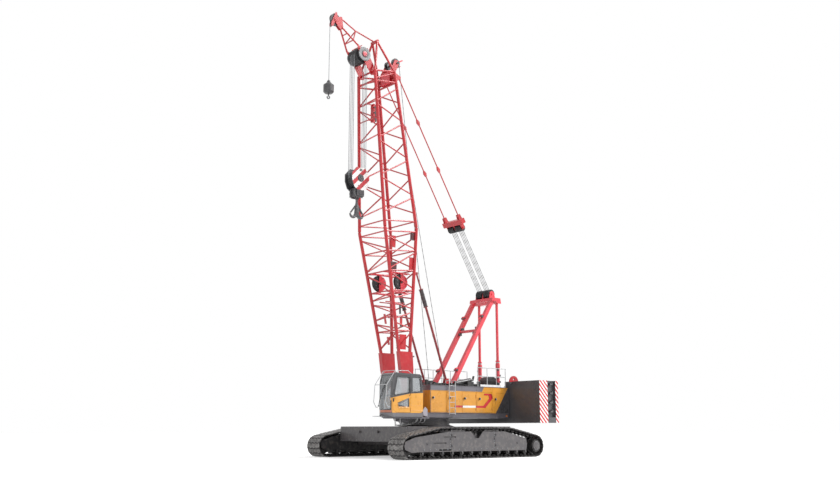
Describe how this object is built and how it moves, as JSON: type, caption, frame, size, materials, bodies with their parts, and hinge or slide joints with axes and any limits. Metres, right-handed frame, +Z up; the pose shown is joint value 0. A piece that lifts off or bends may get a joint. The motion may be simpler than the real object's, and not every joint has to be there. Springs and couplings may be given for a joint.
{
  "type": "lattice boom crawler crane",
  "caption": "Crawler crane with a lattice boom and tip jib, A-frame gantry, stays, cab, machinery houses, counterweight, hooks and wide tracks; it slews and luffs.",
  "frame": {"origin": "on the ground, on the slewing axis", "axes": "+X forward, the way the boom and cab face at rest; +Y left, the cab's side; +Z up"},
  "size_m": [12.978, 7.684, 22.75],
  "materials": {
    "track_steel": "cast steel, dark paint worn on the pads",
    "carrier_grey": "matt grey enamel",
    "carrier_dark": "dark grey enamel",
    "boom_red": "gloss red enamel",
    "weight_grey": "charcoal enamel",
    "house_yellow": "gloss amber enamel",
    "cab_grey": "satin dark grey enamel",
    "window_glass": "clear, slightly grey",
    "seat_fabric": "woven dark cloth",
    "rail_grey": "pale grey enamel",
    "rope_steel": "laid wire rope",
    "sheave_dark": "dark nylon and steel",
    "hook_grey": "grey enamel",
    "lamp_orange": "clear orange lens",
    "bright_steel": "ground steel",
    "frame_grey": "dark grey enamel"
  },
  "bodies": {
    "undercarriage": {"carbody": "carrier_grey", "carrier_weights": "carrier_grey", "left_track": "track_steel", "left_track_frame": "carrier_grey", "left_track_wheels": "carrier_dark", "right_track": "track_steel", "right_track_frame": "carrier_grey", "right_track_wheels": "carrier_dark"},
    "boom": {"boom_foot_cross_lacing": "boom_red", "boom_foot_sides": "boom_red", "boom_head": "boom_red", "boom_sheaves": "sheave_dark", "boom_top_cross_lacing": "boom_red", "boom_top_sides": "boom_red", "tip_jib": "boom_red"},
    "luffing_ropes": {"luffing_falls_lower": "rope_steel"},
    "stays": {"pendants": "boom_red", "bail": "boom_red", "bail_sheaves": "sheave_dark", "luffing_falls_upper": "rope_steel"},
    "backstop_tubes": {"backstop_tubes": "boom_red"},
    "backstop_rods": {"backstop_rods": "bright_steel"},
    "main_fall": {"main_falls": "rope_steel", "hook_block": "hook_grey", "hook_block_sheaves": "sheave_dark"},
    "main_hook": {"main_hook": "hook_grey"},
    "aux_fall": {"aux_rope": "rope_steel", "aux_ball": "hook_grey"},
    "aux_hook": {"aux_hook": "hook_grey"},
    "cab_door": {"cab_door": "house_yellow", "cab_door_glass": "window_glass"},
    "left_house_door_1": {"left_house_door_1": "house_yellow"},
    "left_house_door_2": {"left_house_door_2": "house_yellow"},
    "left_house_door_3": {"left_house_door_3": "house_yellow"},
    "right_house_door_1": {"right_house_door_1": "house_yellow"},
    "right_house_door_2": {"right_house_door_2": "house_yellow"},
    "right_house_door_3": {"right_house_door_3": "house_yellow"},
    "upperworks": {"backstop_feet": "boom_red", "boom_foot_pins": "bright_steel", "cab_glass": "window_glass", "cab_guards": "rail_grey", "cab_mount": "frame_grey", "cab_shell": "cab_grey", "counterweight_slabs": "weight_grey", "counterweight_tray": "weight_grey", "deck_machinery": "frame_grey", "deck_rails": "rail_grey", "driver_seat": "seat_fabric", "engine": "frame_grey", "gantry_head": "boom_red", "gantry_legs": "boom_red", "gantry_sheaves": "sheave_dark", "left_house": "house_yellow", "revolving_frame": "frame_grey", "right_house": "house_yellow", "side_lamps": "lamp_orange", "slew_ring": "frame_grey", "winches": "frame_grey"}
  },
  "joints": [
    {"name": "slew", "type": "hinge", "parent": "undercarriage", "child": "upperworks", "pos_m": [0, 0, 1.86], "axis": [0, 0, 1], "continuous": true},
    {"name": "boom_luff", "type": "hinge", "parent": "upperworks", "child": "boom", "pos_m": [1.88, 0, 3.2], "axis": [0, 1, 0], "range_deg": [0, 54.5]},
    {"name": "luffing_rope_swing", "type": "hinge", "parent": "upperworks", "child": "luffing_ropes", "pos_m": [-4.49, 0, 8.86], "axis": [0, 1, 0], "range_deg": [0, 47.95]},
    {"name": "luffing_rope_pay_out", "type": "slide", "parent": "luffing_ropes", "child": "stays", "axis": [0.5288, 0, 0.8487], "range_m": [0, 7.575]},
    {"name": "backstop_swing", "type": "hinge", "parent": "upperworks", "child": "backstop_tubes", "pos_m": [-0.65, 0, 3.9], "axis": [0, 1, 0], "range_deg": [0, 45.14]},
    {"name": "backstop_draw", "type": "slide", "parent": "backstop_tubes", "child": "backstop_rods", "axis": [0.3532, 0, 0.9355], "range_m": [0, 2.134]},
    {"name": "main_fall_swing", "type": "hinge", "parent": "boom", "child": "main_fall", "pos_m": [4.71, 0, 20.72], "axis": [0, 1, 0], "range_deg": [-54.5, 0]},
    {"name": "aux_fall_swing", "type": "hinge", "parent": "boom", "child": "aux_fall", "pos_m": [6.29, 0, 22.33], "axis": [0, 1, 0], "range_deg": [-54.5, 0]},
    {"name": "main_hook_swivel", "type": "hinge", "parent": "main_fall", "child": "main_hook", "pos_m": [4.71, 0, 13], "axis": [0, 0, 1], "continuous": true},
    {"name": "aux_hook_swivel", "type": "hinge", "parent": "aux_fall", "child": "aux_hook", "pos_m": [6.608, 0, 18.1], "axis": [0, 0, 1], "continuous": true},
    {"name": "cab_door_hinge", "type": "hinge", "parent": "upperworks", "child": "cab_door", "pos_m": [2.752, 2.014, 3.07], "axis": [0, 0, 1], "range_deg": [0, 95]},
    {"name": "left_house_door_1_hinge", "type": "hinge", "parent": "upperworks", "child": "left_house_door_1", "pos_m": [-0.018, 1.614, 2.78], "axis": [0, 0, 1], "range_deg": [0, 110]},
    {"name": "left_house_door_2_hinge", "type": "hinge", "parent": "upperworks", "child": "left_house_door_2", "pos_m": [-2.088, 1.614, 2.78], "axis": [0, 0, 1], "range_deg": [0, 110]},
    {"name": "left_house_door_3_hinge", "type": "hinge", "parent": "upperworks", "child": "left_house_door_3", "pos_m": [-3.288, 1.614, 2.78], "axis": [0, 0, 1], "range_deg": [0, 110]},
    {"name": "right_house_door_1_hinge", "type": "hinge", "parent": "upperworks", "child": "right_house_door_1", "pos_m": [-0.018, -1.614, 2.78], "axis": [0, 0, -1], "range_deg": [0, 110]},
    {"name": "right_house_door_2_hinge", "type": "hinge", "parent": "upperworks", "child": "right_house_door_2", "pos_m": [-2.088, -1.614, 2.78], "axis": [0, 0, -1], "range_deg": [0, 110]},
    {"name": "right_house_door_3_hinge", "type": "hinge", "parent": "upperworks", "child": "right_house_door_3", "pos_m": [-3.288, -1.614, 2.78], "axis": [0, 0, -1], "range_deg": [0, 110]}
  ],
  "couplings": [
    {"joint": "luffing_rope_swing", "follows": "boom_luff", "ratio": 0.87987},
    {"joint": "luffing_rope_pay_out", "follows": "boom_luff", "m_per_rad": 7.9632},
    {"joint": "backstop_swing", "follows": "boom_luff", "ratio": 0.82833},
    {"joint": "backstop_draw", "follows": "boom_luff", "m_per_rad": 2.2432},
    {"joint": "main_fall_swing", "follows": "boom_luff", "ratio": -1},
    {"joint": "aux_fall_swing", "follows": "boom_luff", "ratio": -1}
  ]
}
